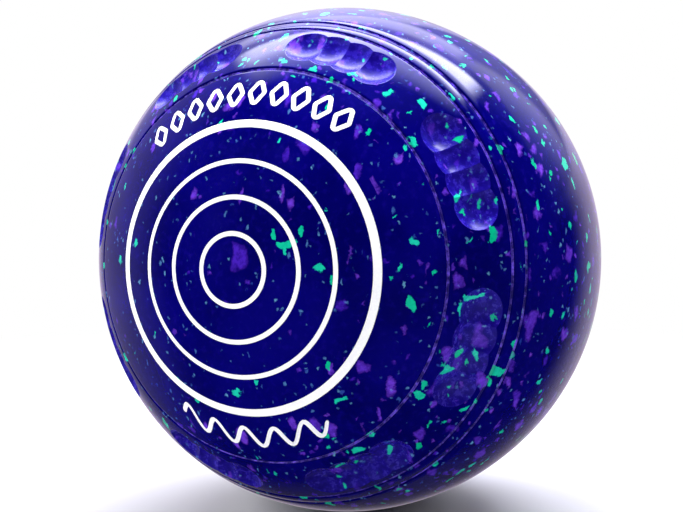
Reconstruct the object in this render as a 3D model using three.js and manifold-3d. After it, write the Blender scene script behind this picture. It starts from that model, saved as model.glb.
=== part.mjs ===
// A size 3 lawn bowl: one moulded and turned body with a larger radius of curvature at the crown than at
// its faces, grip dimples, turned grooves and engraved lines, and the white paint set into those lines.
// Millimetres and degrees, +Z up. The bowl stands on its running surface at the origin, its running axis is
// along Y, the outer face looks to -Y and the bias face to +Y.
import * as THREE from "three";
import { mergeVertices } from "three/addons/utils/BufferGeometryUtils.js";
import Module from "manifold-3d";

const wasm = await Module();
wasm.setup();

// Driving dimensions of the turned body.
const RUNNING_DIAMETER = 124;
const THICKNESS = 112.4;
const FACE_DISC_RADIUS = 5;
const SEGMENTS = 40;

// Exponents of the outline (rho / radius)^radial + (y / half)^axial = 1 on each side of the crown. The bias
// side is the fuller one, which moves the centre of mass off the crown's plane and makes the bowl curl.
const OUTER = { name: "outer", sign: -1, radial: 2.29, axial: 2.19 };
const BIAS = { name: "bias", sign: 1, radial: 2.36, axial: 2.26 };

// Turned V-grooves on both faces: their radii, width and depth.
const GROOVE_RADII = [42.6, 52.7, 54.7];
const GROOVE_WIDTH = 0.9;
const GROOVE_DEPTH = 0.5;

// Engraved lines, and the clearance left round the paint that fills them.
const DISC_RING_WIDTH = 1.9;
const LINE_WIDTH = 1.1;
const ENGRAVING_DEPTH = 0.6;
const PAINT_GAP = 0.05;

// Grip dimples: spherical cuts in clusters, centred on one circle of each face.
const GRIP = { radius: 48.4, clusters: 8, first: 25, perCluster: 4, pitch: 6.4, ball: 7.6, lift: 5.5 };

// Radius of the lozenges' corners, along the centre line of their stroke.
const LOZENGE_CORNER = 0.6;

// What is engraved on each face: the disc ring, the plain rings inside it, an arc of hollow lozenges above
// it and a wave line below it. A lozenge is measured between the corners of its centre line.
const ENGRAVED = {
  outer: {
    discRing: 30.4,
    innerRings: [7.5, 15, 22.5],
    lozenges: { count: 10, radius: 37.2, centre: 92, pitch: 8.2, wide: 3.6, tall: 6.8 },
    wave: { radius: 36.2, centre: 270, halfAngle: 29, waves: 5, amplitude: 2.4 },
  },
  bias: {
    discRing: 22.5,
    innerRings: [7.5, 15],
    lozenges: { count: 7, radius: 29.4, centre: 90, pitch: 10.4, wide: 3.6, tall: 6.8 },
    wave: { radius: 28.6, centre: 270, halfAngle: 29, waves: 4, amplitude: 1.6 },
  },
};

const BODY_MATERIAL = { color: 0x0b0768, roughness: 0.08, metalness: 0 };
const PAINT_MATERIAL = { color: 0xf7f6f4, roughness: 0.25, metalness: 0 };

const crownRadius = RUNNING_DIAMETER / 2;
const faceHeight = THICKNESS / 2;
const degree = Math.PI / 180;

// Height of the smooth outline above the crown's plane at a radius, on one side.
function outlineHeight(side, radius) {
  const fall = (r) => (1 - Math.min(1, r / crownRadius) ** side.radial) ** (1 / side.axial);
  const scale = faceHeight / fall(FACE_DISC_RADIUS);
  return radius <= FACE_DISC_RADIUS ? faceHeight : scale * fall(radius);
}

// Outward normal of the outline at a radius, as its radial part and its part along the running axis.
function outlineNormal(side, radius) {
  if (radius <= FACE_DISC_RADIUS) return { radial: 0, axial: 1 };
  const step = 0.01;
  const drop = outlineHeight(side, radius - step) - outlineHeight(side, radius + step);
  const length = Math.hypot(drop, 2 * step);
  return { radial: drop / length, axial: (2 * step) / length };
}

// Point of the outline that lies a distance along the meridian from a radius (outward if positive).
function alongMeridian(side, radius, distance) {
  const slope = outlineNormal(side, radius);
  const tangent = { radial: slope.axial, axial: -slope.radial };
  return radius + tangent.radial * distance;
}

// A point on or above one face: angle from the viewer's right, radius, and height along the normal.
function facePoint(side, angle, radius, height) {
  const normal = outlineNormal(side, radius);
  const outwards = radius + normal.radial * height;
  const along = outlineHeight(side, radius) + normal.axial * height;
  const right = outwards * Math.cos(angle * degree);
  const up = outwards * Math.sin(angle * degree);
  return new THREE.Vector3(-side.sign * right, side.sign * along, crownRadius + up);
}

// Outline points of a band round the axis, sunk or raised by given heights at given radii.
function bandPoints(side, band) {
  return band.map(([radius, height]) => {
    const normal = outlineNormal(side, radius);
    const x = radius + normal.radial * height;
    const y = side.sign * (outlineHeight(side, radius) + normal.axial * height);
    return new THREE.Vector2(x, y);
  });
}

// A V cut across a radius: its two edges on the surface and its bottom.
function vee(side, radius, width, depth, gap = 0) {
  const half = width / 2 - gap;
  const inner = alongMeridian(side, radius, -half);
  const outer = alongMeridian(side, radius, half);
  return [[inner, -gap], [radius, gap - depth], [outer, -gap]];
}

// A flat-bottomed cut across a radius, its floor narrower than its mouth.
function trough(side, radius, width, depth, gap = 0) {
  const half = width / 2 - gap;
  const taper = 0.2;
  const at = (offset) => alongMeridian(side, radius, offset);
  const floor = gap - depth;
  return [[at(-half), -gap], [at(taper - half), floor], [at(half - taper), floor], [at(half), -gap]];
}

// The cuts that are turned on one face, from the pole outwards.
function turnedCuts(side) {
  const { discRing, innerRings } = ENGRAVED[side.name];
  const cuts = innerRings.map((radius) => vee(side, radius, LINE_WIDTH, ENGRAVING_DEPTH));
  cuts.push(trough(side, discRing, DISC_RING_WIDTH, ENGRAVING_DEPTH));
  for (const radius of GROOVE_RADII) cuts.push(vee(side, radius, GROOVE_WIDTH, GROOVE_DEPTH));
  return cuts;
}

// Plain outline radii between the cuts of one face, at most one land length apart along the meridian.
function faceBand(side) {
  const landLength = 8;
  const band = [[0, 0], [FACE_DISC_RADIUS, 0]];
  const fill = (end) => {
    const [start] = band[band.length - 1];
    const rise = outlineHeight(side, start) - outlineHeight(side, end);
    const steps = Math.ceil(Math.hypot(end - start, rise) / landLength);
    for (let step = 1; step < steps; step++) band.push([start + ((end - start) * step) / steps, 0]);
  };
  for (const cut of turnedCuts(side)) {
    fill(cut[0][0]);
    band.push(...cut);
  }
  return band;
}

// Radii from the outermost groove to the crown, evenly spaced in the outline's own angle.
function shoulderBand(side) {
  const steps = 5;
  const start = GROOVE_RADII[GROOVE_RADII.length - 1] + GROOVE_WIDTH;
  const startAngle = Math.acos(start / crownRadius);
  const band = [];
  for (let step = 0; step < steps; step++) {
    band.push([crownRadius * Math.cos(startAngle * (1 - step / steps)), 0]);
  }
  return band;
}

// A closed mesh with merged vertices, as a manifold solid, and a solid back as a geometry.
function toSolid(geometry) {
  geometry.deleteAttribute("normal");
  geometry.deleteAttribute("uv");
  const merged = mergeVertices(geometry, 1e-5);
  const vertProperties = new Float32Array(merged.attributes.position.array);
  const triVerts = new Uint32Array(merged.index.array);
  return new wasm.Manifold(new wasm.Mesh({ numProp: 3, vertProperties, triVerts }));
}

function toGeometry(solid) {
  const mesh = solid.getMesh();
  const geometry = new THREE.BufferGeometry();
  geometry.setAttribute("position", new THREE.BufferAttribute(mesh.vertProperties, 3));
  geometry.setIndex(new THREE.BufferAttribute(mesh.triVerts, 1));
  return geometry;
}

// A solid of revolution about the running axis, with its bottom corner on the ground.
function turned(points) {
  return new THREE.LatheGeometry(points, SEGMENTS).translate(0, 0, crownRadius);
}

// The body before its grips and marks are cut.
function turnedBody() {
  const outer = bandPoints(OUTER, [...faceBand(OUTER), ...shoulderBand(OUTER)]);
  const bias = bandPoints(BIAS, [...faceBand(BIAS), ...shoulderBand(BIAS)]);
  const crown = new THREE.Vector2(crownRadius, 0);
  return turned([...outer, crown, ...bias.reverse()]);
}

// One grip cutter: the tip of a ball with a straight shank, seated on the surface.
function gripCutter(side, angle) {
  const tipAngles = [22, 46];
  const shankTop = 3;
  const points = [new THREE.Vector2(0, GRIP.lift - GRIP.ball)];
  for (const tip of tipAngles) {
    const radius = GRIP.ball * Math.sin(tip * degree);
    points.push(new THREE.Vector2(radius, GRIP.lift - GRIP.ball * Math.cos(tip * degree)));
  }
  points.push(new THREE.Vector2(points[points.length - 1].x, shankTop), new THREE.Vector2(0, shankTop));
  const cutter = new THREE.LatheGeometry(points, 9);
  const seat = facePoint(side, angle, GRIP.radius, 0);
  const normal = facePoint(side, angle, GRIP.radius, 1).sub(seat);
  const turn = new THREE.Quaternion().setFromUnitVectors(new THREE.Vector3(0, 1, 0), normal.normalize());
  return toSolid(cutter.applyQuaternion(turn).translate(seat.x, seat.y, seat.z));
}

function gripCutters(side) {
  const cutters = [];
  for (let cluster = 0; cluster < GRIP.clusters; cluster++) {
    const centre = GRIP.first + (cluster * 360) / GRIP.clusters;
    for (let dimple = 0; dimple < GRIP.perCluster; dimple++) {
      cutters.push(gripCutter(side, centre + (dimple - (GRIP.perCluster - 1) / 2) * GRIP.pitch));
    }
  }
  return cutters;
}

// A flat mark bent onto a face: its shape's x runs clockwise round the face, its y outwards from the pole.
function bentMark(side, shape, angle, radius, bottom, top) {
  const geometry = new THREE.ExtrudeGeometry(shape, { depth: top - bottom, bevelEnabled: false });
  const position = geometry.attributes.position;
  for (let i = 0; i < position.count; i++) {
    const pointRadius = alongMeridian(side, radius, position.getY(i));
    const pointAngle = angle - position.getX(i) / pointRadius / degree;
    const point = facePoint(side, pointAngle, pointRadius, bottom + position.getZ(i));
    position.setXYZ(i, point.x, point.y, point.z);
  }
  return toSolid(geometry);
}

// One edge of a lozenge's stroke, at an offset from its centre line: arcs round the corners' centres.
function lozengeOutline({ wide, tall }, offset) {
  const tip = Math.atan2(wide, tall);
  const tipCentre = tall / 2 - LOZENGE_CORNER / Math.sin(tip);
  const sideCentre = wide / 2 - LOZENGE_CORNER / Math.cos(tip);
  const corners = [
    { x: sideCentre, y: 0, facing: 0, spread: tip },
    { x: 0, y: tipCentre, facing: Math.PI / 2, spread: Math.PI / 2 - tip },
    { x: -sideCentre, y: 0, facing: Math.PI, spread: tip },
    { x: 0, y: -tipCentre, facing: -Math.PI / 2, spread: Math.PI / 2 - tip },
  ];
  const radius = LOZENGE_CORNER + offset;
  const turns = offset > 0 ? [-1, 0, 1] : [0];
  return corners.flatMap(({ x, y, facing, spread }) =>
    turns.map((turn) => {
      const angle = facing + turn * spread;
      return new THREE.Vector2(x + radius * Math.cos(angle), y + radius * Math.sin(angle));
    }),
  );
}

// A hollow lozenge drawn with a line of the engraved width, made thicker or thinner by a margin.
function lozengeShape(lozenges, margin) {
  const shape = new THREE.Shape(lozengeOutline(lozenges, LINE_WIDTH / 2 + margin));
  shape.holes.push(new THREE.Path(lozengeOutline(lozenges, -LINE_WIDTH / 2 - margin)));
  return shape;
}

// A wave line of the engraved width, as the outline on both sides of a sine centre line.
function waveShape({ radius, halfAngle, waves, amplitude }, margin) {
  const pointsPerWave = 8;
  const count = waves * pointsPerWave;
  const halfLength = radius * halfAngle * degree;
  const halfWidth = LINE_WIDTH / 2 + margin;
  const above = [];
  const below = [];
  for (let i = 0; i <= count; i++) {
    const phase = (2 * Math.PI * i) / pointsPerWave;
    const x = -halfLength + (2 * halfLength * i) / count;
    const slope = (amplitude * Math.cos(phase) * Math.PI * waves) / halfLength;
    const length = Math.hypot(1, slope);
    const centre = new THREE.Vector2(x, amplitude * Math.sin(phase));
    const across = new THREE.Vector2(-slope / length, 1 / length).multiplyScalar(halfWidth);
    above.push(centre.clone().add(across));
    below.push(centre.clone().sub(across));
  }
  return new THREE.Shape([...below, ...above.reverse()]);
}

// The engraved marks of a face: each one's name, shape maker and place.
function marksOf(side) {
  const { lozenges, wave } = ENGRAVED[side.name];
  const marks = [];
  for (let i = 0; i < lozenges.count; i++) {
    const angle = lozenges.centre + ((lozenges.count - 1) / 2 - i) * lozenges.pitch;
    const name = `${side.name}_lozenge_paint_${i + 1}`;
    marks.push({ name, shape: (margin) => lozengeShape(lozenges, margin), angle, radius: lozenges.radius });
  }
  const shape = (margin) => waveShape(wave, margin);
  marks.push({ name: `${side.name}_wave_paint`, shape, angle: wave.centre, radius: wave.radius });
  return marks;
}

function paintNode(name, geometry) {
  const mesh = new THREE.Mesh(geometry, new THREE.MeshStandardMaterial(PAINT_MATERIAL));
  mesh.name = name;
  return mesh;
}

// A closed ring of a section, wound so that its faces point out on either side.
function closedRing(side, band) {
  const points = bandPoints(side, band);
  if (side === OUTER) points.reverse();
  return turned([...points, points[0].clone()]);
}

// The paint in the turned rings of one face.
function ringPaint(side) {
  const { discRing, innerRings } = ENGRAVED[side.name];
  const disc = trough(side, discRing, DISC_RING_WIDTH, ENGRAVING_DEPTH, PAINT_GAP);
  const nodes = [paintNode(`${side.name}_disc_ring_paint`, closedRing(side, disc))];
  innerRings.forEach((radius, i) => {
    const line = vee(side, radius, LINE_WIDTH, ENGRAVING_DEPTH, PAINT_GAP);
    nodes.push(paintNode(`${side.name}_inner_ring_paint_${i + 1}`, closedRing(side, line)));
  });
  return nodes;
}

// The paint in the other marks of one face.
function markPaint(side) {
  return marksOf(side).map(({ name, shape, angle, radius }) => {
    const solid = bentMark(side, shape(-PAINT_GAP), angle, radius, PAINT_GAP - ENGRAVING_DEPTH, -PAINT_GAP);
    return paintNode(name, toGeometry(solid));
  });
}

// The finished body: the turned solid less its grips and the pockets of its marks.
function bodyNode() {
  const pocketTop = 1;
  const cutters = [OUTER, BIAS].flatMap((side) => [
    ...gripCutters(side),
    ...marksOf(side).map(({ shape, angle, radius }) =>
      bentMark(side, shape(0), angle, radius, -ENGRAVING_DEPTH, pocketTop),
    ),
  ]);
  const body = toSolid(turnedBody()).subtract(wasm.Manifold.union(cutters));
  const mesh = new THREE.Mesh(toGeometry(body), new THREE.MeshStandardMaterial(BODY_MATERIAL));
  mesh.name = "bowl_body";
  return mesh;
}

const bowl = new THREE.Group();
bowl.name = "lawn_bowl";
bowl.add(bodyNode());
for (const side of [OUTER, BIAS]) bowl.add(...ringPaint(side), ...markPaint(side));

export default bowl;
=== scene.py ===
import math

import bmesh
import bpy
import numpy as np
from mathutils import Matrix, Vector
from mathutils.geometry import delaunay_2d_cdt
from mathutils.kdtree import KDTree


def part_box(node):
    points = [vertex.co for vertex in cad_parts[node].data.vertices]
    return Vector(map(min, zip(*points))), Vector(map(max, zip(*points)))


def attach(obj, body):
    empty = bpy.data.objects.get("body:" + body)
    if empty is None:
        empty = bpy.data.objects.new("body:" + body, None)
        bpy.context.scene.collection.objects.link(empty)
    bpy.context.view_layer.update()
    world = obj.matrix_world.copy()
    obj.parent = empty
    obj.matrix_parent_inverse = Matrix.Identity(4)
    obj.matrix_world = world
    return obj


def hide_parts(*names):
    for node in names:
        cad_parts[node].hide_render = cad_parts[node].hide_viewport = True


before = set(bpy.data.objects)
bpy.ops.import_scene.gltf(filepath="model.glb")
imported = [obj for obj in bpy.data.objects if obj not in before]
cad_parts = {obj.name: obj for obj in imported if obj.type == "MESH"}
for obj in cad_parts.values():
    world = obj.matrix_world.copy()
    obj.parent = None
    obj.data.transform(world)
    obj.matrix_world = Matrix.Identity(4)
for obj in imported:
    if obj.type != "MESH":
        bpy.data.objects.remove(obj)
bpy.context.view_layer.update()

# ---------------------------------------------------------------------------------------------------------
# Driving dimensions, in millimetres and degrees. Lengths along the meridian, from a face's pole to the
# crown, are called runs. Angles are seen from outside each face, from the viewer's right.

MM = 0.001
body_low, body_high = (np.array(corner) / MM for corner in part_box("bowl_body"))
RUNNING_RADIUS = (body_high[2] - body_low[2]) / 2
FACE_HEIGHT = (body_high[1] - body_low[1]) / 2
FACE_DISC_RADIUS = 5.0
# Middle of the bowl, in metres.
CENTRE = Vector((0, 0, RUNNING_RADIUS * MM))

# Turned V grooves on both faces.
GROOVE_RADII = (42.6, 52.7, 54.7)
GROOVE_WIDTH = 0.9
GROOVE_DEPTH = 0.5

# Engraved lines and the paint in them.
DISC_RING_WIDTH = 1.9
LINE_WIDTH = 1.1
ENGRAVING_DEPTH = 0.6
ENGRAVING_TAPER = 0.12
PAINT_GAP = 0.05

# Grip dimples, cut by a ball whose centre is held above the outline.
GRIP_RADIUS = 48.4
GRIP_CLUSTERS = 8
GRIP_FIRST = 25.0
GRIPS_PER_CLUSTER = 4
GRIP_PITCH = 6.4
GRIP_BALL = 7.6
GRIP_LIFT = 5.5

LOZENGE_CORNER = 0.6

ENGRAVED = {
    "outer": {
        "disc_ring": 30.4,
        "inner_rings": (7.5, 15.0, 22.5),
        "lozenges": {"count": 10, "radius": 37.2, "centre": 92.0, "pitch": 8.2, "wide": 3.6, "tall": 6.8},
        "wave": {"radius": 36.2, "centre": 270.0, "half_angle": 29.0, "waves": 5, "amplitude": 2.4},
    },
    "bias": {
        "disc_ring": 22.5,
        "inner_rings": (7.5, 15.0),
        "lozenges": {"count": 7, "radius": 29.4, "centre": 90.0, "pitch": 10.4, "wide": 3.6, "tall": 6.8},
        "wave": {"radius": 28.6, "centre": 270.0, "half_angle": 29.0, "waves": 4, "amplitude": 1.6},
    },
}

# How finely the surface is divided. Points of a flat drawing closer than MERGE_WITHIN become one, and so do
# points of neighbouring patches closer than WELD_WITHIN. Slopes are taken over SLOPE_STEP to each side.
SPOKES = 360
INNER_SPOKES = 180
FIRST_SPOKE = 2.5
MERGE_WITHIN = 0.02
WELD_WITHIN = 0.003
SLOPE_STEP = 0.004

# ---------------------------------------------------------------------------------------------------------
# The turned outline.


class Side:
    """One half of the bowl: its outline, a superellipse, as a table from the pole to the crown."""

    def __init__(self, name, sign, radial, axial):
        self.name, self.sign = name, sign
        half = FACE_HEIGHT / (1 - (FACE_DISC_RADIUS / RUNNING_RADIUS) ** radial) ** (1 / axial)
        turn = np.linspace(0, math.pi / 2, 6001)
        self.radii = RUNNING_RADIUS * np.sin(turn) ** (2 / radial)
        self.heights = half * np.clip(np.cos(turn), 0, 1) ** (2 / axial)
        steep = radial / RUNNING_RADIUS * (self.radii / RUNNING_RADIUS) ** (radial - 1)
        level = axial / half * (self.heights / half) ** (axial - 1)
        size = np.hypot(steep, level)
        self.outwards, self.upwards = steep / size, level / size
        steps = np.hypot(np.diff(self.radii), np.diff(self.heights))
        self.runs = np.concatenate([[0], np.cumsum(steps)])

    def run_at(self, radius):
        return float(np.interp(radius, self.radii, self.runs))

    def radius_at(self, run):
        return np.interp(run, self.runs, self.radii)

    def section(self, run, height):
        """Radius and height of points a height above the outline, in the meridian's plane."""
        radius = self.radius_at(run) + np.interp(run, self.runs, self.outwards) * height
        along = np.interp(run, self.runs, self.heights) + np.interp(run, self.runs, self.upwards) * height
        return radius, along

    def spin(self, angle, radius, along):
        """Points in the bowl's frame from an angle, a radius and a distance from the crown's plane."""
        turn = np.radians(angle)
        x, z = radius * np.cos(turn), radius * np.sin(turn)
        return np.stack([-self.sign * x, self.sign * along + 0 * x, RUNNING_RADIUS + z], axis=-1)

    def point(self, angle, run, height):
        return self.spin(angle, *self.section(run, height))

    def normal(self, angle, run):
        return self.point(angle, run, 1.0) - self.point(angle, run, 0.0)


# The bias side is the fuller one, which makes the bowl curl as it slows.
OUTER = Side("outer", -1, 2.29, 2.19)
BIAS = Side("bias", 1, 2.36, 2.26)


# ---------------------------------------------------------------------------------------------------------
# Depths of everything that is cut into the outline.


def smooth_max(a, b, soft):
    """The larger of two depths, with the corner between them rounded."""
    near = np.maximum(soft - np.abs(a - b), 0)
    return np.maximum(a, b) + near * near / (4 * soft)


def groove_depth(distance):
    """A turned V groove with a rounded bottom and slightly broken edges."""
    bottom_round, edge_round = 0.12, 0.1
    slope = 2 * GROOVE_DEPTH / GROOVE_WIDTH
    fall = slope * (np.hypot(distance, bottom_round) - bottom_round)
    return smooth_max(GROOVE_DEPTH - fall, 0, edge_round)


def channel_depth(distance, width):
    """An engraved channel with steep sides, a flat floor and slightly broken edges."""
    edge_round = 0.16
    wall = (width / 2 - distance) * ENGRAVING_DEPTH / ENGRAVING_TAPER
    return smooth_max(np.minimum(wall, ENGRAVING_DEPTH), 0, edge_round)


def turned_depth(side, run):
    """Depth of the grooves and of the engraved rings, which depends only on the run."""
    depth = np.zeros_like(run)
    for radius in GROOVE_RADII:
        depth += groove_depth(np.abs(run - side.run_at(radius)))
    engraved = ENGRAVED[side.name]
    depth += channel_depth(np.abs(run - side.run_at(engraved["disc_ring"])), DISC_RING_WIDTH)
    for radius in engraved["inner_rings"]:
        depth += channel_depth(np.abs(run - side.run_at(radius)), LINE_WIDTH)
    return depth


def grip_reach(side, centre, angle, run):
    """How far below the outline one dimple's ball reaches. It is negative outside the dimple."""
    seat_run = side.run_at(GRIP_RADIUS)
    ball = side.point(centre, seat_run, GRIP_LIFT)
    offset = side.point(angle, run, 0.0) - ball
    normal = side.normal(angle, run)
    along = (offset * normal).sum(axis=-1)
    inside = along**2 - (offset**2).sum(axis=-1) + GRIP_BALL**2
    return np.where(inside > 0, along + np.sqrt(np.maximum(inside, 0)), -GRIP_BALL)


def grip_depth(side, angle, run, centres):
    rim_round, ridge_round = 0.14, 0.1
    reach = np.full(np.shape(run), -GRIP_BALL)
    for centre in centres:
        reach = smooth_max(reach, grip_reach(side, centre, angle, run), ridge_round)
    return smooth_max(reach, 0, rim_round)


# ---------------------------------------------------------------------------------------------------------
# Engraved marks, as strokes along centre lines. A mark's own x runs clockwise round the face, in
# millimetres, and its y outwards from the pole.


def polyline_distance(points, line, closed):
    """Distance of each point from a polyline."""
    ends = np.roll(line, -1, axis=0)
    starts = line
    if not closed:
        starts, ends = line[:-1], line[1:]
    best = np.full(len(points), np.inf)
    for start, end in zip(starts, ends):
        leg = end - start
        along = np.clip(((points - start) @ leg) / (leg @ leg), 0, 1)
        best = np.minimum(best, np.hypot(*(points - start - along[:, None] * leg).T))
    return best


def across(line, closed):
    """Unit normals along a polyline, to the left of its direction."""
    if closed:
        ahead = np.roll(line, -1, axis=0) - np.roll(line, 1, axis=0)
    else:
        ahead = np.gradient(line, axis=0)
    ahead /= np.hypot(*ahead.T)[:, None]
    return np.stack([-ahead[:, 1], ahead[:, 0]], axis=1)


class Mark:
    """One stroke at a place on a face."""

    def __init__(self, name, side, angle, radius, line, closed):
        self.name, self.side, self.angle, self.line, self.closed = name, side, angle, line, closed
        self.seat = side.run_at(radius)
        self.normals = across(line, closed)

    def to_face(self, flat):
        """Angle and run of points in the mark's own plane."""
        run = self.seat + flat[:, 1]
        return self.angle - np.degrees(flat[:, 0] / self.side.radius_at(run)), run

    def depth(self, angle, run):
        x = np.radians(self.angle - angle) * self.side.radius_at(run)
        flat = np.stack([x, run - self.seat], axis=1)
        near = np.all(np.abs(flat) < np.abs(self.line).max(axis=0) + LINE_WIDTH, axis=1)
        depth = np.zeros(len(flat))
        depth[near] = channel_depth(polyline_distance(flat[near], self.line, self.closed), LINE_WIDTH)
        return depth

    def contours(self, offset):
        """Closed curves at a distance from the centre line: two for a closed line, one for an open one."""
        left, right = (self.line + side * offset * self.normals for side in (1, -1))
        if self.closed:
            return [left, right]
        return [np.concatenate([right, self.cap(-1, offset), left[::-1], self.cap(0, offset)])]

    def cap(self, end, offset):
        """Points of the half circle round one end, in the contour's direction, without its two ends."""
        steps = 6
        normal = self.normals[end] if end == 0 else -self.normals[end]
        forward = np.array([-normal[1], normal[0]])
        turn = np.linspace(0, math.pi, steps + 1)[1:-1, None]
        return self.line[end] + offset * (np.cos(turn) * normal + np.sin(turn) * forward)


def lozenge_line(wide, tall):
    """Centre line of a hollow lozenge, measured between its corners, with the corners rounded."""
    arc_steps, side_steps = 5, 4
    tip = math.atan2(wide, tall)
    tip_centre = tall / 2 - LOZENGE_CORNER / math.sin(tip)
    side_centre = wide / 2 - LOZENGE_CORNER / math.cos(tip)
    places = [(side_centre, 0, tip), (0, tip_centre, math.pi / 2 - tip),
              (-side_centre, 0, tip), (0, -tip_centre, math.pi / 2 - tip)]
    arcs = []
    for i, (x, y, spread) in enumerate(places):
        turn = i * math.pi / 2 + spread * np.linspace(-1, 1, arc_steps + 1)
        arcs.append(np.array([x, y]) + LOZENGE_CORNER * np.stack([np.cos(turn), np.sin(turn)], axis=1))
    points = []
    for arc, following in zip(arcs, arcs[1:] + arcs[:1]):
        along = np.linspace(0, 1, side_steps + 1)[1:-1, None]
        points += [arc, arc[-1] * (1 - along) + following[0] * along]
    return np.concatenate(points)


def wave_line(run_radius, half_angle, waves, amplitude):
    """Centre line of a sine wave along an arc of a face."""
    steps_per_wave = 16
    half_length = run_radius * math.radians(half_angle)
    phase = np.linspace(0, 2 * math.pi * waves, waves * steps_per_wave + 1)
    return np.stack([np.linspace(-half_length, half_length, len(phase)), amplitude * np.sin(phase)], axis=1)


def marks_of(side):
    engraved = ENGRAVED[side.name]
    row, wave = engraved["lozenges"], engraved["wave"]
    marks = []
    for i in range(row["count"]):
        angle = row["centre"] + ((row["count"] - 1) / 2 - i) * row["pitch"]
        line = lozenge_line(row["wide"], row["tall"])
        marks.append(Mark(f"{side.name}_lozenge_paint_{i + 1}", side, angle, row["radius"], line, True))
    line = wave_line(wave["radius"], wave["half_angle"], wave["waves"], wave["amplitude"])
    marks.append(Mark(f"{side.name}_wave_paint", side, wave["centre"], wave["radius"], line, False))
    return marks


# ---------------------------------------------------------------------------------------------------------
# Building meshes out of patches.


POLISHED, TURNED_CUT, GRIP_CUT = 0, 1, 2
# Depth in millimetres from which a face shows its band's cut finish.
CUT_BELOW = {POLISHED: 0.0, TURNED_CUT: 0.3, GRIP_CUT: 0.03}


def finishes(faces, depth, cut_finish):
    """Material index of each face: polished, or the band's cut finish where it lies deep enough."""
    return np.where(depth[faces].mean(axis=1) > CUT_BELOW[cut_finish], cut_finish, POLISHED)


def first_within(points, reach):
    """For each point, the place in the list of the first point within reach of it."""
    tree = KDTree(len(points))
    for i, point in enumerate(points):
        tree.insert(point, i)
    tree.balance()
    return [min(index for _, index, _ in tree.find_range(point, reach)) for point in points]


class Shell:
    """Patches of points and faces, joined where their points meet."""

    def __init__(self):
        self.points, self.normals, self.faces, self.finishes, self.count = [], [], [], [], 0

    def add(self, points, normals, faces, depth, cut_finish):
        self.points.append(points)
        self.normals.append(normals)
        self.faces.extend((faces + self.count).tolist())
        self.finishes.append(finishes(faces, depth, cut_finish))
        self.count += len(points)

    def build(self, name, materials):
        points, normals = np.concatenate(self.points), np.concatenate(self.normals)
        first, place = np.unique(first_within(points, WELD_WITHIN), return_inverse=True)
        points, normals = points[first], normals[first]
        faces, kept = [], []
        for face, finish in zip(self.faces, np.concatenate(self.finishes)):
            face = list(dict.fromkeys(place[corner] for corner in face))
            if len(face) < 3:
                continue
            a, b, c = points[face[0]], points[face[1]], points[face[2]]
            if np.dot(np.cross(b - a, c - a), normals[face[0]] + normals[face[1]] + normals[face[2]]) < 0:
                face.reverse()
            faces.append(face)
            kept.append(finish)
        mesh = bpy.data.meshes.new(name)
        mesh.from_pydata((points * MM).tolist(), [], faces)
        for material in materials:
            mesh.materials.append(material)
        mesh.polygons.foreach_set("material_index", np.array(kept, dtype=np.int32))
        mesh.polygons.foreach_set("use_smooth", np.ones(len(faces), dtype=bool))
        mesh.normals_split_custom_set_from_vertices(normals.tolist())
        mesh.update()
        return add_object(name, mesh)


def add_object(name, mesh):
    piece = bpy.data.objects.new(name, mesh)
    bpy.context.scene.collection.objects.link(piece)
    return piece


def unit(vectors):
    return vectors / np.linalg.norm(vectors, axis=-1, keepdims=True)


def grid_of(slow, fast):
    """Every pair of two rows of values, as two flat arrays. The second value changes fastest."""
    return (grid.ravel() for grid in np.meshgrid(slow, fast, indexing="ij"))


def lathe_patch(shell, side, runs, spokes, cut_finish=TURNED_CUT):
    """A band that is the same at every angle, with its grooves and channels."""
    runs = np.asarray(runs)

    def section(at):
        return np.stack(side.section(at, -turned_depth(side, at)), axis=1)

    ahead = section(np.minimum(runs + SLOPE_STEP, side.runs[-1])) - section(np.maximum(runs - SLOPE_STEP, 0))
    radius, along = section(runs).T
    normal_out, normal_up = unit(np.stack([-ahead[:, 1], ahead[:, 0]], axis=1)).T
    angles = FIRST_SPOKE + np.arange(spokes) * (360 / spokes)
    turn, row = grid_of(angles, np.arange(len(runs)))
    points = side.spin(turn, radius[row], along[row])
    origin = side.spin(turn, 0 * radius[row], 0 * along[row])
    normals = side.spin(turn, normal_out[row], normal_up[row]) - origin
    spoke, level = grid_of(np.arange(spokes), np.arange(len(runs) - 1))
    here, there = spoke * len(runs) + level, ((spoke + 1) % spokes) * len(runs) + level
    faces = np.stack([here, here + 1, there + 1, there], axis=1)
    shell.add(points, normals, faces, turned_depth(side, runs)[row], cut_finish)


class Plan:
    """A flat drawing of lines and points, to be divided into triangles."""

    def __init__(self):
        self.points, self.edges = [], []

    def line(self, points, closed=False):
        first = len(self.points)
        self.points.extend(map(tuple, points))
        last = len(self.points) - 1
        self.edges.extend((i, i + 1) for i in range(first, last))
        if closed:
            self.edges.append((last, first))

    def dots(self, points):
        self.points.extend(map(tuple, points))

    def triangles(self):
        points = [Vector(point) for point in self.points]
        corners, _, faces, *_ = delaunay_2d_cdt(points, self.edges, [], 0, MERGE_WITHIN)
        return np.array([corner[:] for corner in corners]), np.array(faces)


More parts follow.
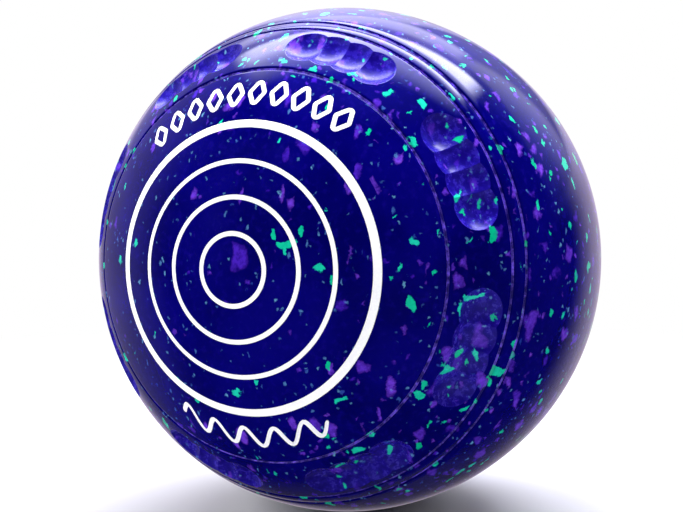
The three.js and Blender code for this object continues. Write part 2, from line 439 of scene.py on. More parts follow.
def relief_patch(shell, side, plan_scale, plan, depth_at, cut_finish, turns=(0.0,)):
    """The plan's triangles on a face, sunk by a depth and repeated at several turns.

    The plan's y is a run, and its x an angle times the plan's scale."""
    flat, faces = plan.triangles()
    angle, run = flat[:, 0] / plan_scale, flat[:, 1]
    turn = SLOPE_STEP / plan_scale

    def at(angles, runs):
        return side.point(angles, runs, -depth_at(angles, runs))

    depth = depth_at(angle, run)
    round_the_face = at(angle + turn, run) - at(angle - turn, run)
    outwards = at(angle, run + SLOPE_STEP) - at(angle, run - SLOPE_STEP)
    normals = unit(np.cross(round_the_face, outwards))
    if (normals * side.normal(angle, run)).sum() < 0:
        normals = -normals
    points = side.point(angle, run, -depth)
    for extra in turns:
        rotation = np.array(Matrix.Rotation(math.radians(extra), 3, "Y"))
        centre = np.array([0, 0, RUNNING_RADIUS])
        shell.add((points - centre) @ rotation.T + centre, normals @ rotation.T, faces, depth, cut_finish)


# ---------------------------------------------------------------------------------------------------------
# The body's bands.


def spaced(start, end, spacing):
    return np.linspace(start, end, max(2, math.ceil((end - start) / spacing) + 1))


def channel_runs(centre, width):
    """Runs of the edges across an engraved ring: land, lip, wall and floor on each side."""
    half = width / 2
    marks = np.array([half + 0.06, half + 0.005, half - 0.035, half - ENGRAVING_TAPER])
    return np.concatenate([centre - marks, centre + marks[::-1]])


def groove_runs(centre):
    """Runs of the edges across a turned groove, closer together at its lips."""
    marks = np.array([0.62, 0.5, 0.42, 0.3, 0.14])
    return np.concatenate([centre - marks, [centre], centre + marks[::-1]])


def with_lands(start, end, cuts, spacing):
    """Runs from start to end through the runs of each cut, with evenly spaced ones on the lands between."""
    runs = [start]
    for cut in [*cuts, [end]]:
        runs.extend(spaced(runs[-1], cut[0], spacing)[1:])
        runs.extend(cut[1:])
    return np.array(runs)


def band_edges(side):
    """Runs at which the bands of marks and grips start and end, a little clear of the cuts beside them."""
    clear_of_ring, clear_of_first, clear_of_second = 0.25, 0.9, 0.8
    first_groove, second_groove = (side.run_at(radius) for radius in GROOVE_RADII[:2])
    marks_start = side.run_at(ENGRAVED[side.name]["disc_ring"]) + DISC_RING_WIDTH / 2 + clear_of_ring
    marks_end, grips_start = first_groove - clear_of_first, first_groove + clear_of_first
    return marks_start, marks_end, grips_start, second_groove - clear_of_second


def grip_rim(side):
    """The rim of one dimple as its distance from the dimple's centre in each direction, in the plan."""
    samples, halvings = 721, 40
    well_inside, well_outside = 3.0, 7.0
    scale = math.radians(1) * GRIP_RADIUS
    seat = side.run_at(GRIP_RADIUS)
    direction = np.linspace(0, 2 * math.pi, samples)
    low, high = np.full(samples, well_inside), np.full(samples, well_outside)
    for _ in range(halvings):
        middle = (low + high) / 2
        reach = grip_reach(side, 0.0, middle * np.cos(direction) / scale, seat + middle * np.sin(direction))
        low, high = np.where(reach > 0, middle, low), np.where(reach > 0, high, middle)
    return direction, low


def runs_of(mask):
    """Stretches of a closed row of samples where the mask holds, as index arrays."""
    if mask.all():
        return [np.arange(len(mask))]
    start = int(np.argmin(mask))
    order = (np.arange(len(mask)) + start) % len(mask)
    stretches, current = [], []
    for index in order:
        if mask[index]:
            current.append(index)
        elif current:
            stretches.append(np.array(current))
            current = []
    if current:
        stretches.append(np.array(current))
    return stretches


def thinned(points, spacing):
    """Points of a fine polyline about a spacing apart, its two ends kept."""
    length = np.concatenate([[0], np.cumsum(np.hypot(*np.diff(points, axis=0).T))])
    count = max(2, int(round(length[-1] / spacing)) + 1)
    wanted = np.linspace(0, length[-1], count)
    return np.stack([np.interp(wanted, length, points[:, i]) for i in (0, 1)], axis=1)


def grip_band(shell, side, low, high):
    """One eighth of the band of dimples, repeated round the face."""
    rim_offsets = (-0.5, -0.2, -0.07, 0.04, 0.16)
    rim_spacing = 0.42
    ridge_offsets = (-0.3, -0.1, 0, 0.1, 0.3)
    ridge_spacing = 0.5
    land_spacing = 1.35
    # Rings of points inside each dimple: how many rings, and how many more points each has than the last.
    rings, points_more = 4, 7
    scale = math.radians(1) * GRIP_RADIUS
    seat = side.run_at(GRIP_RADIUS)
    half_width = scale * 180 / GRIP_CLUSTERS
    half_pitch = scale * GRIP_PITCH / 2
    direction, rim = grip_rim(side)
    direction, rim = direction[:-1], rim[:-1]
    middle = (GRIPS_PER_CLUSTER - 1) / 2
    centres = [(i - middle) * GRIP_PITCH for i in range(GRIPS_PER_CLUSTER)]
    plan = Plan()
    columns = np.linspace(-half_width, half_width, SPOKES // GRIP_CLUSTERS + 1)
    rows = spaced(low, high, 1.2)
    plan.line(np.stack([columns, 0 * columns + low], axis=1))
    plan.line(np.stack([columns, 0 * columns + high], axis=1))
    for x in (-half_width, half_width):
        plan.dots([(x, row) for row in rows[1:-1]])

    for i, centre in enumerate(centres):
        left = -np.inf if i == 0 else -half_pitch
        right = np.inf if i == GRIPS_PER_CLUSTER - 1 else half_pitch
        for offset in rim_offsets:
            x = (rim + offset) * np.cos(direction)
            y = (rim + offset) * np.sin(direction)
            for stretch in runs_of((x > left) & (x < right)):
                arc = np.stack([x[stretch] + scale * centre, y[stretch] + seat], axis=1)
                plan.line(thinned(arc, rim_spacing))
        for ring in range(rings + 1):
            count = max(1, points_more * ring)
            turn = np.arange(count) * 2 * math.pi / count + 0.3 * ring
            radius = np.interp(turn % (2 * math.pi), direction, rim) * ring / (rings + 0.7)
            x, y = radius * np.cos(turn), radius * np.sin(turn)
            keep = (x > left + 0.5) & (x < right - 0.5)
            plan.dots(np.stack([x[keep] + scale * centre, y[keep] + seat], axis=1))
    corner = float(np.interp(math.pi / 2, direction, rim))
    reach = math.sqrt(corner**2 - half_pitch**2) + 0.25
    for i in range(GRIPS_PER_CLUSTER - 1):
        ridge = scale * (centres[i] + GRIP_PITCH / 2)
        for offset in ridge_offsets:
            along = spaced(-reach, reach, ridge_spacing)
            plan.line(np.stack([0 * along + ridge + offset, along + seat], axis=1))
    columns = np.arange(-half_width + 0.7, half_width - 0.4, land_spacing)
    land_x, land_y = np.meshgrid(columns, rows[1:-1])
    land = np.stack([land_x.ravel(), land_y.ravel()], axis=1)
    away = np.full(len(land), np.inf)
    for centre in centres:
        away = np.minimum(away, np.hypot(land[:, 0] - scale * centre, land[:, 1] - seat))
    plan.dots(land[away > corner + 0.75])

    def depth_at(angle, run):
        return grip_depth(side, angle, run, [GRIP_FIRST + centre for centre in centres])

    plan.points = [(x + GRIP_FIRST * scale, y) for x, y in plan.points]
    turns = [i * 360 / GRIP_CLUSTERS for i in range(GRIP_CLUSTERS)]
    relief_patch(shell, side, scale, plan, depth_at, GRIP_CUT, turns)


def marks_band(shell, side, low, high):
    """The band of engraved marks between the disc ring and the first groove."""
    radius = ENGRAVED[side.name]["lozenges"]["radius"]
    scale = math.radians(1) * radius
    marks = marks_of(side)
    plan = Plan()
    angles = FIRST_SPOKE + np.arange(SPOKES + 1) * (360 / SPOKES)
    plan.line(np.stack([angles * scale, 0 * angles + high], axis=1))
    angles = FIRST_SPOKE + np.arange(INNER_SPOKES + 1) * (360 / INNER_SPOKES)
    plan.line(np.stack([angles * scale, 0 * angles + low], axis=1))
    rows = spaced(low, high, 1.6)
    for x in (FIRST_SPOKE * scale, (FIRST_SPOKE + 360) * scale):
        plan.dots([(x, row) for row in rows[1:-1]])
    half = LINE_WIDTH / 2
    for mark in marks:
        for offset in (half + 0.14, half + 0.03, half - 0.02, half - ENGRAVING_TAPER):
            for contour in mark.contours(offset):
                angle, run = mark.to_face(contour)
                plan.line(np.stack([angle * scale, run], axis=1), closed=True)
    columns = np.arange(FIRST_SPOKE * scale + 0.9, (FIRST_SPOKE + 360) * scale - 0.5, 1.7)
    land_x, land_y = np.meshgrid(columns, rows[1:-1])
    land = np.stack([land_x.ravel(), land_y.ravel()], axis=1)
    keep = np.ones(len(land), dtype=bool)
    for mark in marks:
        x = np.radians(mark.angle - land[:, 0] / scale) * side.radius_at(land[:, 1])
        flat = np.stack([x, land[:, 1] - mark.seat], axis=1)
        keep &= polyline_distance(flat, mark.line, mark.closed) > half + 0.7
    plan.dots(land[keep])

    def depth_at(angle, run):
        return sum(mark.depth(angle, run) for mark in marks)

    relief_patch(shell, side, scale, plan, depth_at, POLISHED)


def pole_fan(shell, side, run, spokes):
    angles = FIRST_SPOKE + np.arange(spokes) * (360 / spokes)
    rim = side.point(angles, run + 0 * angles, 0.0)
    points = np.concatenate([side.point(np.zeros(1), np.zeros(1), 0.0), rim])
    normals = np.concatenate([side.normal(np.zeros(1), np.zeros(1)), side.normal(angles, run + 0 * angles)])
    following = 1 + (np.arange(spokes) + 1) % spokes
    faces = np.stack([np.zeros(spokes, dtype=int), 1 + np.arange(spokes), following], axis=1)
    shell.add(points, normals, faces, np.zeros(len(points)), POLISHED)


def body_half(shell, side):
    engraved = ENGRAVED[side.name]
    pole_run = 0.8
    marks_start, marks_end, grips_start, grips_end = band_edges(side)
    rings = [channel_runs(side.run_at(radius), LINE_WIDTH) for radius in engraved["inner_rings"]]
    rings.append(channel_runs(side.run_at(engraved["disc_ring"]), DISC_RING_WIDTH))
    first, second, third = (groove_runs(side.run_at(radius)) for radius in GROOVE_RADII)
    pole_fan(shell, side, pole_run, INNER_SPOKES)
    lathe_patch(shell, side, with_lands(pole_run, marks_start, rings, 1.6), INNER_SPOKES, POLISHED)
    marks_band(shell, side, marks_start, marks_end)
    lathe_patch(shell, side, with_lands(marks_end, grips_start, [first], 1.2), SPOKES)
    grip_band(shell, side, grips_start, grips_end)
    lathe_patch(shell, side, with_lands(grips_end, side.runs[-1], [second, third], 1.7), SPOKES)


# ---------------------------------------------------------------------------------------------------------
# Paint in the engraving.


def paint_section(width):
    """Offsets and heights of a closed section of paint: slightly hollow on top and tapered below."""
    half = width / 2 - PAINT_GAP
    floor = PAINT_GAP - ENGRAVING_DEPTH
    foot = half - ENGRAVING_TAPER
    return np.array([
        [-half, -0.07], [-0.94 * half, -0.045], [-0.55 * half, -0.07], [0, -0.085], [0.55 * half, -0.07],
        [0.94 * half, -0.045], [half, -0.07], [foot, floor], [-foot, floor],
    ])


def smooth_piece(name, points, faces, material):
    mesh = bpy.data.meshes.new(name)
    mesh.from_pydata((points * MM).tolist(), [], faces)
    mesh.materials.append(material)
    mesh.polygons.foreach_set("use_smooth", np.ones(len(mesh.polygons), dtype=bool))
    mesh.set_sharp_from_angle(angle=math.radians(50))
    mesh.update()
    return add_object(name, mesh)


def torus_faces(count, sides):
    return [
        [i * sides + j, i * sides + (j + 1) % sides, ((i + 1) % count) * sides + (j + 1) % sides,
         ((i + 1) % count) * sides + j]
        for i in range(count)
        for j in range(sides)
    ]


def ring_paint(side, node, radius, width, material):
    section = paint_section(width)
    spokes = 200
    angle, index = grid_of(np.arange(spokes) * 360 / spokes, np.arange(len(section)))
    points = side.point(angle, side.run_at(radius) + section[index, 0], section[index, 1])
    return smooth_piece(node + "_smooth", points, torus_faces(spokes, len(section)), material)


def closed_mark_paint(mark, material):
    section = paint_section(LINE_WIDTH)
    rows = []
    for offset, height in section:
        angle, run = mark.to_face(mark.line + offset * mark.normals)
        rows.append(mark.side.point(angle, run, height))
    points = np.stack(rows, axis=1).reshape(-1, 3)
    return smooth_piece(mark.name + "_smooth", points, torus_faces(len(mark.line), len(section)), material)


def open_mark_paint(mark, material):
    """Paint in an open stroke with round ends: loops from the centre line out, down the side and back in."""
    section = paint_section(LINE_WIDTH)
    foot = section[7]
    loops = [*section[3:7], foot, np.array([0.0, foot[1]])]
    rows = []
    for offset, height in loops:
        angle, run = mark.to_face(mark.contours(offset)[0])
        rows.append(mark.side.point(angle, run, height))
    count, levels = len(rows[0]), len(rows)
    points = np.stack(rows, axis=1).reshape(-1, 3)
    faces = [
        [i * levels + j, i * levels + j + 1,
         ((i + 1) % count) * levels + j + 1, ((i + 1) % count) * levels + j]
        for i in range(count)
        for j in range(levels - 1)
    ]
    return smooth_piece(mark.name + "_smooth", *welded(points, faces), material)


def welded(points, faces):
    _, first, place = np.unique(np.round(points, 5), axis=0, return_index=True, return_inverse=True)
    place = place.ravel()
    joined = [list(dict.fromkeys(int(place[corner]) for corner in face)) for face in faces]
    return points[first], [face for face in joined if len(face) > 2]


def fix_facing(piece):
    """Turns every face of a closed piece outwards."""
    bpy.context.view_layer.objects.active = piece
    work = bmesh.new()
    work.from_mesh(piece.data)
    bmesh.ops.recalc_face_normals(work, faces=work.faces)
    work.to_mesh(piece.data)
    work.free()


# ---------------------------------------------------------------------------------------------------------
# Materials.


class Nodes:
    """The node tree of a material or world, with short calls to add nodes to it."""

    def __init__(self, owner):
        owner.use_nodes = True
        self.tree = owner.node_tree
        self.tree.nodes.clear()

    def add(self, kind, inputs=None, **settings):
        node = self.tree.nodes.new("ShaderNode" + kind)
        for setting, value in settings.items():
            setattr(node, setting, value)
        for socket, value in (inputs or {}).items():
            if isinstance(value, bpy.types.NodeSocket):
                self.tree.links.new(value, node.inputs[socket])
            else:
                node.inputs[socket].default_value = value
        return node

    def math(self, operation, a, b=0.0, clamp=False):
        return self.add("Math", {0: a, 1: b}, operation=operation, use_clamp=clamp).outputs[0]

    def ramp(self, value, low, high, to_low=0.0, to_high=1.0):
        inputs = {"Value": value, "From Min": low, "From Max": high, "To Min": to_low, "To Max": to_high}
        return self.add("MapRange", inputs, interpolation_type="SMOOTHSTEP").outputs[0]

    def mix(self, factor, a, b):
        node = self.add("Mix", {0: factor}, data_type="RGBA")
        for socket, colour in ((6, a), (7, b)):
            if isinstance(colour, bpy.types.NodeSocket):
                self.tree.links.new(colour, node.inputs[socket])
            else:
                node.inputs[socket].default_value = (*colour, 1)
        return node.outputs[2]

    def noise(self, vector, scale, detail=2.0, roughness=0.5):
        inputs = {"Vector": vector, "Scale": scale, "Detail": detail, "Roughness": roughness}
        return self.add("TexNoise", inputs)


def millimetres(nodes):
    """Position in the bowl's own frame, in millimetres."""
    place = nodes.add("TexCoord").outputs["Object"]
    return nodes.add("VectorMath", {0: place, "Scale": 1 / MM}, operation="SCALE").outputs[0]


def crumpled(nodes, place, size, amount):
    """The position moved about by noise, so that the edges of cells aren't straight."""
    noise = nodes.noise(place, 1 / size, detail=3.0, roughness=0.65).outputs["Color"]
    centred = nodes.add("VectorMath", {0: noise, 1: (0.5, 0.5, 0.5)}, operation="SUBTRACT").outputs[0]
    moved = nodes.add("VectorMath", {0: centred, "Scale": amount}, operation="SCALE").outputs[0]
    return nodes.add("VectorMath", {0: place, 1: moved}, operation="ADD").outputs[0]


def chips(nodes, place, plenty, spacing, share, shrink, soft, turn, stretch):
    """Angular chips: a share of a solid's cells, each shrunk and with its corners knocked off.

    Gives their mask and a random value of each chip."""
    reach = 0.56
    scale = [amount / spacing for amount in stretch]
    turned = nodes.add("Mapping", {"Vector": place, "Rotation": turn, "Scale": scale}).outputs[0]
    cells = nodes.add("TexVoronoi", {"Vector": turned, "Scale": 1.0}, feature="F1")
    edges = nodes.add("TexVoronoi", {"Vector": turned, "Scale": 1.0}, feature="DISTANCE_TO_EDGE")
    draw = nodes.add("SeparateColor", {0: cells.outputs["Color"]})
    picked = nodes.math("LESS_THAN", draw.outputs[0], nodes.math("MULTIPLY", plenty, share))
    rim = nodes.math("ADD", shrink, nodes.math("MULTIPLY", draw.outputs[1], 0.12))
    from_edge = nodes.math("SUBTRACT", edges.outputs["Distance"], rim)
    from_reach = nodes.math("SUBTRACT", reach, cells.outputs["Distance"])
    inside = nodes.math("DIVIDE", nodes.math("MINIMUM", from_edge, from_reach), soft, clamp=True)
    return nodes.math("MULTIPLY", picked, inside), draw.outputs[2]


# Chips of coloured resin in the moulding: spacing of the cells, share of them that are chips, how much each
# is shrunk, softness of its edge, turn and stretch of the cells.
PURPLE_CHIPS = [
    (5.4, 0.034, 0.05, 0.14, (0.3, 0.5, 1.1), (1.0, 1.4, 0.8)),
    (3.9, 0.080, 0.05, 0.16, (1.2, 0.2, 0.4), (1.4, 1.0, 0.8)),
    (2.8, 0.078, 0.04, 0.18, (0.7, 1.4, 0.1), (1.5, 0.9, 0.7)),
    (1.6, 0.045, 0.03, 0.22, (0.0, 0.4, 0.9), (1.0, 1.0, 1.0)),
]
TURQUOISE_CHIPS = [
    (4.8, 0.006, 0.08, 0.04, (0.9, 0.3, 0.5), (1.1, 0.9, 1.8)),
    (3.7, 0.030, 0.11, 0.05, (0.1, 1.0, 0.9), (2.0, 1.0, 0.8)),
    (2.8, 0.036, 0.08, 0.07, (1.3, 0.7, 0.4), (0.9, 1.9, 1.0)),
    (1.8, 0.022, 0.03, 0.10, (0.5, 0.1, 1.3), (1.6, 1.0, 0.8)),
]
PALE_SPECKS = [
    (1.2, 0.030, 0.02, 0.2, (0.0, 0.3, 0.1), (1.6, 1.2, 0.8)),
    (0.8, 0.045, 0.02, 0.3, (0.2, 0.9, 0.4), (1.0, 1.0, 1.0)),
]


def flecked(nodes, place, ground, brightness):
    """Colour of the resin: the ground with purple chips, turquoise chips and pale specks in it."""
    broken = crumpled(nodes, crumpled(nodes, place, 2.6, 1.6), 0.9, 0.8)
    along_x = nodes.add("SeparateXYZ", {0: place}).outputs[0]
    centred = nodes.add("VectorMath", {0: place, 1: CENTRE / MM}, operation="SUBTRACT").outputs[0]
    radial = nodes.add("VectorMath", {0: centred, 1: (1, 0, 1)}, operation="MULTIPLY").outputs[0]
    from_axis = nodes.add("VectorMath", {0: radial}, operation="LENGTH").outputs["Value"]
    outwards = nodes.ramp(from_axis, 24.0, 58.0, 0.45, 1.25)
    plenty = nodes.math("MULTIPLY", outwards, nodes.ramp(along_x, -40.0, 30.0, 0.7, 1.15))
    everywhere = nodes.ramp(from_axis, 22.0, 40.0, 0.7, 1.0)
    veil = nodes.noise(place, 0.9, detail=4.0, roughness=0.7).outputs["Fac"]
    solid = nodes.ramp(veil, 0.3, 0.65, 0.4, 0.95)
    layers = [(PURPLE_CHIPS, plenty, (0.036, 0.006, 0.40), (0.170, 0.048, 0.66), solid)]
    clear = nodes.ramp(veil, 0.3, 0.6, 0.75, 1.0)
    layers.append((TURQUOISE_CHIPS, plenty, (0.001, 0.46, 0.23), (0.012, 0.56, 0.40), clear))
    layers.append((PALE_SPECKS, everywhere, (0.02, 0.06, 0.36), (0.15, 0.42, 0.66), 0.6))
    colour = ground
    for kinds, share_of_all, dark, light, cover in layers:
        for spacing, share, shrink, soft, turn, stretch in kinds:
            mask, draw = chips(nodes, broken, share_of_all, spacing, share, shrink, soft, turn, stretch)
            tint = nodes.mix(draw, [c * brightness for c in dark], [c * brightness for c in light])
            colour = nodes.mix(nodes.math("MULTIPLY", mask, cover), colour, tint)
    return colour


def finish_material(nodes, colour, roughness, ior, gloss_tint, normal=None):
    values = {"Base Color": colour, "Roughness": roughness, "IOR": ior, "Specular Tint": gloss_tint}
    shader = nodes.add("BsdfPrincipled", values)
    if normal is not None:
        nodes.tree.links.new(normal, shader.inputs["Normal"])
    output = nodes.add("OutputMaterial")
    nodes.tree.links.new(shader.outputs[0], output.inputs[0])


def bump(nodes, height, strength, distance):
    return nodes.add("Bump", {"Height": height, "Strength": strength, "Distance": distance}).outputs[0]


BLUISH_GLOSS, WHITE_GLOSS = (0.72, 0.70, 1.0, 1.0), (1.0, 1.0, 1.0, 1.0)


def polished_resin():
    """The turned and polished body: deep blue, cloudy, full of chips, glossy, with faint handling marks."""
    material = bpy.data.materials.new("polished_resin")
    nodes = Nodes(material)
    place = millimetres(nodes)
    cloud = nodes.noise(place, 0.06, detail=3.0).outputs["Fac"]
    ground = nodes.mix(nodes.ramp(cloud, 0.35, 0.65), (0.0003, 0.0001, 0.082), (0.0010, 0.0003, 0.125))
    haze = nodes.noise(crumpled(nodes, place, 3.0, 2.0), 0.7, detail=4.0).outputs["Fac"]
    ground = nodes.mix(nodes.ramp(haze, 0.5, 0.75, 0.0, 0.5), ground, (0.005, 0.002, 0.19))
    colour = flecked(nodes, place, ground, 1.0)
    smudge = nodes.noise(place, 0.11, detail=5.0, roughness=0.6).outputs["Fac"]
    roughness = nodes.ramp(smudge, 0.35, 0.7, 0.045, 0.085)
    wobble = nodes.noise(place, 0.09, detail=1.0).outputs["Fac"]
    finish_material(nodes, colour, roughness, 1.55, BLUISH_GLOSS, bump(nodes, wobble, 0.25, 0.0002))
    return material


def satin_resin(name, ground_low, ground_high, roughness_range, grain):
    """Resin left as it was cut: lighter and violet, with a soft sheen and a fine grain."""
    material = bpy.data.materials.new(name)
    nodes = Nodes(material)
    place = millimetres(nodes)
    mottle = nodes.noise(place, 0.6, detail=4.0, roughness=0.65).outputs["Fac"]
    ground = nodes.mix(nodes.ramp(mottle, 0.4, 0.66), ground_low, ground_high)
    colour = flecked(nodes, place, ground, 1.05)
    roughness = nodes.ramp(mottle, 0.3, 0.7, *roughness_range)
    fine = nodes.noise(place, 4.0, detail=3.0, roughness=0.6).outputs["Fac"]
    finish_material(nodes, colour, roughness, 1.5, BLUISH_GLOSS, bump(nodes, fine, grain, 0.00004))
    return material


def white_enamel():
    """Cured paint wiped into the engraving: glossy, not quite even, a little dirty in places."""
    material = bpy.data.materials.new("white_enamel")
    nodes = Nodes(material)
    place = millimetres(nodes)
    patch = nodes.noise(place, 0.5, detail=4.0, roughness=0.6).outputs["Fac"]
    colour = nodes.mix(nodes.ramp(patch, 0.6, 0.8), (0.96, 0.96, 0.96), (0.88, 0.88, 0.91))
    fine = nodes.noise(place, 2.2, detail=3.0).outputs["Fac"]
    roughness = nodes.ramp(fine, 0.3, 0.7, 0.18, 0.32)
    finish_material(nodes, colour, roughness, 1.5, WHITE_GLOSS, bump(nodes, fine, 0.4, 0.00005))
    return material


def pale_floor(reach):
    """A pale floor that turns white with distance, so that it has no horizon against the white studio."""
    material = bpy.data.materials.new("pale_floor")
    nodes = Nodes(material)
    place = millimetres(nodes)
    patch = nodes.noise(place, 0.01, detail=3.0).outputs["Fac"]
    colour = nodes.mix(patch, (0.88, 0.88, 0.89), (0.92, 0.92, 0.92))
    shader = nodes.add("BsdfPrincipled", {"Base Color": colour, "Roughness": 0.7})
    white = nodes.add("Emission", {"Color": (1, 1, 1, 1), "Strength": 1.0})
    away = nodes.add("VectorMath", {0: place}, operation="LENGTH").outputs["Value"]
    far = nodes.ramp(away, 120.0, reach)
    mixed = nodes.add("MixShader", {0: far, 1: shader.outputs[0], 2: white.outputs[0]})
    output = nodes.add("OutputMaterial")
    nodes.tree.links.new(mixed.outputs[0], output.inputs[0])
    return material


# ---------------------------------------------------------------------------------------------------------
# The pieces.


def place_piece(piece, node):
    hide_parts(node)
    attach(piece, "root")


polished = polished_resin()
turned_cut = satin_resin("turned_groove_resin", (0.006, 0.002, 0.14), (0.17, 0.085, 0.80), (0.3, 0.5), 0.5)
grip_cut = satin_resin("satin_grip_resin", (0.006, 0.002, 0.185), (0.018, 0.007, 0.34), (0.2, 0.3), 0.15)
enamel = white_enamel()

shell = Shell()
body_half(shell, OUTER)
body_half(shell, BIAS)
place_piece(shell.build("body_moulding", [polished, turned_cut, grip_cut]), "bowl_body")

for side in (OUTER, BIAS):
    engraved = ENGRAVED[side.name]
    node = f"{side.name}_disc_ring_paint"
    pieces = [(node, ring_paint(side, node, engraved["disc_ring"], DISC_RING_WIDTH, enamel))]
    for i, radius in enumerate(engraved["inner_rings"]):
        node = f"{side.name}_inner_ring_paint_{i + 1}"
        pieces.append((node, ring_paint(side, node, radius, LINE_WIDTH, enamel)))
    for mark in marks_of(side):
        make = closed_mark_paint if mark.closed else open_mark_paint
        pieces.append((mark.name, make(mark, enamel)))
    for node, piece in pieces:
        fix_facing(piece)
        place_piece(piece, node)

# ---------------------------------------------------------------------------------------------------------
# Camera, floor and lights.

# The camera, in degrees, metres and millimetres of focal length. The aim is off the bowl's middle.
CAMERA_AZIMUTH, CAMERA_ELEVATION, CAMERA_ROLL = 25.25, 2.33, -0.37
CAMERA_DISTANCE = 0.260
CAMERA_LENS = 53.8
AIM_RIGHT, AIM_UP = -0.00176, 0.00082
# Distance in millimetres at which the floor has turned white.
FLOOR_FADE = 420.0
# The softbox on the plane one unit above the bowl: half its width and depth, and its radiance at both ends.
SOFTBOX_CENTRE, SOFTBOX_TURN = (-0.06, 0.26, 0.0), 18.0
SOFTBOX_SIZE = (0.72, 0.29)
SOFTBOX_RADIANCE = (4.0, 8.0)


def towards(azimuth, elevation):
    """Unit vector: azimuth 0 is the outer face's side, and it grows towards +X."""
    turn, rise = math.radians(azimuth), math.radians(elevation)
    return Vector((math.sin(turn) * math.cos(rise), -math.cos(turn) * math.cos(rise), math.sin(rise)))


def add_camera():
    data = bpy.data.cameras.new("camera")
    data.lens = CAMERA_LENS
    data.clip_start = 0.01
    camera = add_object("camera", data)
    back = towards(CAMERA_AZIMUTH, CAMERA_ELEVATION)
    right = Vector((0, 0, 1)).cross(back).normalized()
    up = back.cross(right)
    place = CENTRE + back * CAMERA_DISTANCE
    aim = CENTRE + right * AIM_RIGHT + up * AIM_UP
    looking = (place - aim).normalized()
    across_view = Vector((0, 0, 1)).cross(looking).normalized()
    axes = Matrix((across_view, looking.cross(across_view), looking)).transposed()
    roll = Matrix.Rotation(math.radians(CAMERA_ROLL), 3, "Z")
    camera.matrix_world = Matrix.Translation(place) @ (axes @ roll).to_4x4()
    bpy.context.scene.camera = camera


def add_floor():
    reach = 4.0
    mesh = bpy.data.meshes.new("floor")
    corners = [(-reach, -reach, 0), (reach, -reach, 0), (reach, reach, 0), (-reach, reach, 0)]
    mesh.from_pydata(corners, [], [(0, 1, 2, 3)])
    mesh.materials.append(pale_floor(FLOOR_FADE))
    floor = add_object("floor", mesh)
    floor.visible_glossy = False


def add_fill(name, azimuth, elevation, size, radiance, on_floor=True):
    """A square soft light facing the bowl, too broad to show in the gloss as a light of its own."""
    distance = 1.5
    data = bpy.data.lights.new(name, "AREA")
    data.size = size
    data.energy = radiance * math.pi * size ** 2
    panel = add_object(name, data)
    panel.visible_camera = False
    panel.visible_glossy = False
    direction = towards(azimuth, elevation)
    panel.location = CENTRE + direction * distance
    panel.rotation_euler = direction.to_track_quat("Z", "Y").to_euler()
    if not on_floor:
        unlit = bpy.data.collections.new(f"{name}_unlit")
        unlit.objects.link(bpy.data.objects["floor"])
        unlit.collection_objects[0].light_linking.link_state = "EXCLUDE"
        panel.light_linking.receiver_collection = unlit


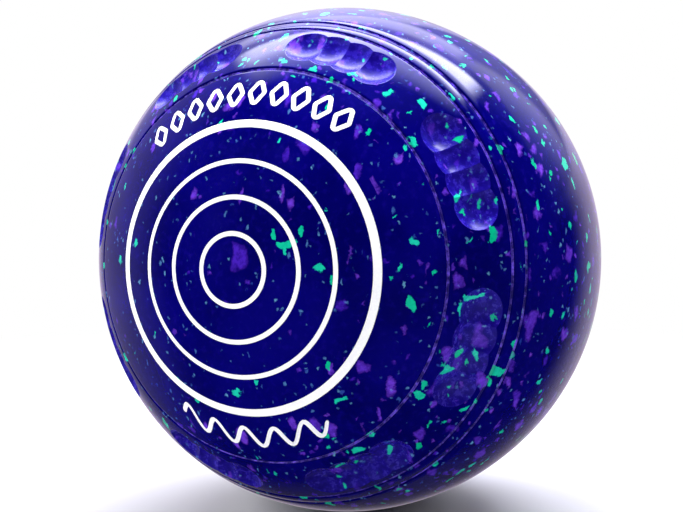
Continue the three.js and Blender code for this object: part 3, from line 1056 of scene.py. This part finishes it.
def add_world():
    """A pale studio, white where the camera sees it.

    The gloss shows a softbox above and behind the bowl, a backdrop behind it that is lit high up, and a grey
    wall to its left."""
    world = bpy.data.worlds.new("studio")
    bpy.context.scene.world = world
    nodes = Nodes(world)
    direction = nodes.add("TexCoord").outputs["Generated"]
    rise = nodes.add("SeparateXYZ", {0: direction}).outputs[2]
    level = nodes.add("VectorMath", {0: direction, 1: (1, 1, 0)}, operation="MULTIPLY").outputs[0]
    level = nodes.add("VectorMath", {0: level}, operation="NORMALIZE").outputs[0]

    def facing(azimuth, low, high):
        dot = nodes.add("VectorMath", {0: level, 1: towards(azimuth, 0)}, operation="DOT_PRODUCT")
        return nodes.ramp(dot.outputs["Value"], low, high)

    # The softbox, as a rectangle on the plane one unit above the bowl.
    above = nodes.math("MAXIMUM", rise, 0.05)
    on_plane = nodes.add("VectorMath", {0: direction, 1: above}, operation="DIVIDE").outputs[0]
    turn = (0, 0, math.radians(SOFTBOX_TURN))
    placing = {"Vector": on_plane, "Location": SOFTBOX_CENTRE, "Rotation": turn}
    in_box = nodes.add("Mapping", placing, vector_type="TEXTURE").outputs[0]
    across, along, _ = nodes.add("SeparateXYZ", {0: in_box}).outputs
    half_width, half_depth = SOFTBOX_SIZE
    sides = nodes.ramp(nodes.math("ABSOLUTE", across), half_width + 0.05, half_width - 0.14)
    front = nodes.ramp(along, -half_depth - 0.16, -half_depth + 0.16)
    rear = nodes.ramp(along, half_depth + 0.04, half_depth - 0.05)
    strength = nodes.ramp(across, -half_width, half_width, *SOFTBOX_RADIANCE)
    strength = nodes.math("MULTIPLY", strength, nodes.ramp(along, -0.15, 0.12, 0.6, 1.7))
    extent = nodes.math("MULTIPLY", nodes.math("MULTIPLY", sides, front), rear)
    softbox = nodes.math("MULTIPLY", extent, strength)

    # The backdrop. Between its foot and its lit upper part it is dark, but for a doorway and its right end.
    right_end = facing(150, 0.9, 0.975)
    doorway = nodes.math("MULTIPLY", facing(-156, 0.961, 0.988), 0.62)
    glow = nodes.math("MAXIMUM", doorway, nodes.ramp(right_end, 0.0, 1.0, 0.2, 0.6))
    lit_part = nodes.math("SUBTRACT", rise, nodes.math("MULTIPLY", right_end, 0.1))
    lit_part = nodes.math("MAXIMUM", nodes.ramp(rise, 0.2, 0.3, 1.0, 0.0), nodes.ramp(lit_part, 0.58, 0.68))
    glow = nodes.math("MAXIMUM", glow, lit_part)
    horizon = nodes.math("MULTIPLY", nodes.ramp(rise, -0.75, 0.1, 0.08, 0.8), facing(-165, 0.6, 0.98))
    horizon = nodes.math("MULTIPLY", horizon, glow)
    upper = nodes.math("MULTIPLY", nodes.ramp(rise, 0.1, 0.72, 0.0, 2.1), nodes.ramp(rise, 0.88, 0.76))
    upper = nodes.math("MULTIPLY", upper, nodes.ramp(along, 0.38, 0.52, 0.35, 1.0))
    upper = nodes.math("MULTIPLY", nodes.math("MULTIPLY", upper, facing(-165, 0.25, 0.95)), glow)
    left_wall = nodes.math("MULTIPLY", nodes.ramp(rise, -0.8, -0.1, 0.0, 0.36), facing(-110, 0.55, 0.97))
    ceiling = nodes.ramp(rise, 0.75, 0.95, 0.01, 0.12)

    high = nodes.math("ADD", nodes.math("ADD", upper, ceiling), softbox)
    low = nodes.math("ADD", horizon, left_wall)
    high_light = nodes.add("Background", {"Color": (0.88, 0.90, 1.0, 1), "Strength": high})
    low_light = nodes.add("Background", {"Color": (0.95, 0.80, 1.0, 1), "Strength": low})
    lit = nodes.add("AddShader", {0: high_light.outputs[0], 1: low_light.outputs[0]})
    seen = nodes.add("Background", {"Color": (1, 1, 1, 1), "Strength": 1.0})
    is_seen = nodes.add("LightPath").outputs["Is Camera Ray"]
    mixed = nodes.add("MixShader", {0: is_seen, 1: lit.outputs[0], 2: seen.outputs[0]})
    output = nodes.add("OutputWorld")
    nodes.tree.links.new(mixed.outputs[0], output.inputs[0])


add_camera()
add_floor()
add_world()
# Each fill's azimuth, elevation, size in metres and radiance. The top one lights the bowl only.
add_fill("front_fill", -40, 22, 1.2, 4.2)
add_fill("left_fill", -85, 25, 0.8, 3.0)
add_fill("right_fill", 95, 30, 0.8, 2.0)
add_fill("rear_fill", 180, 35, 0.8, 1.5)
add_fill("top_fill", 180, 80, 1.2, 23.0, on_floor=False)
bpy.context.scene.view_settings.view_transform = "Standard"
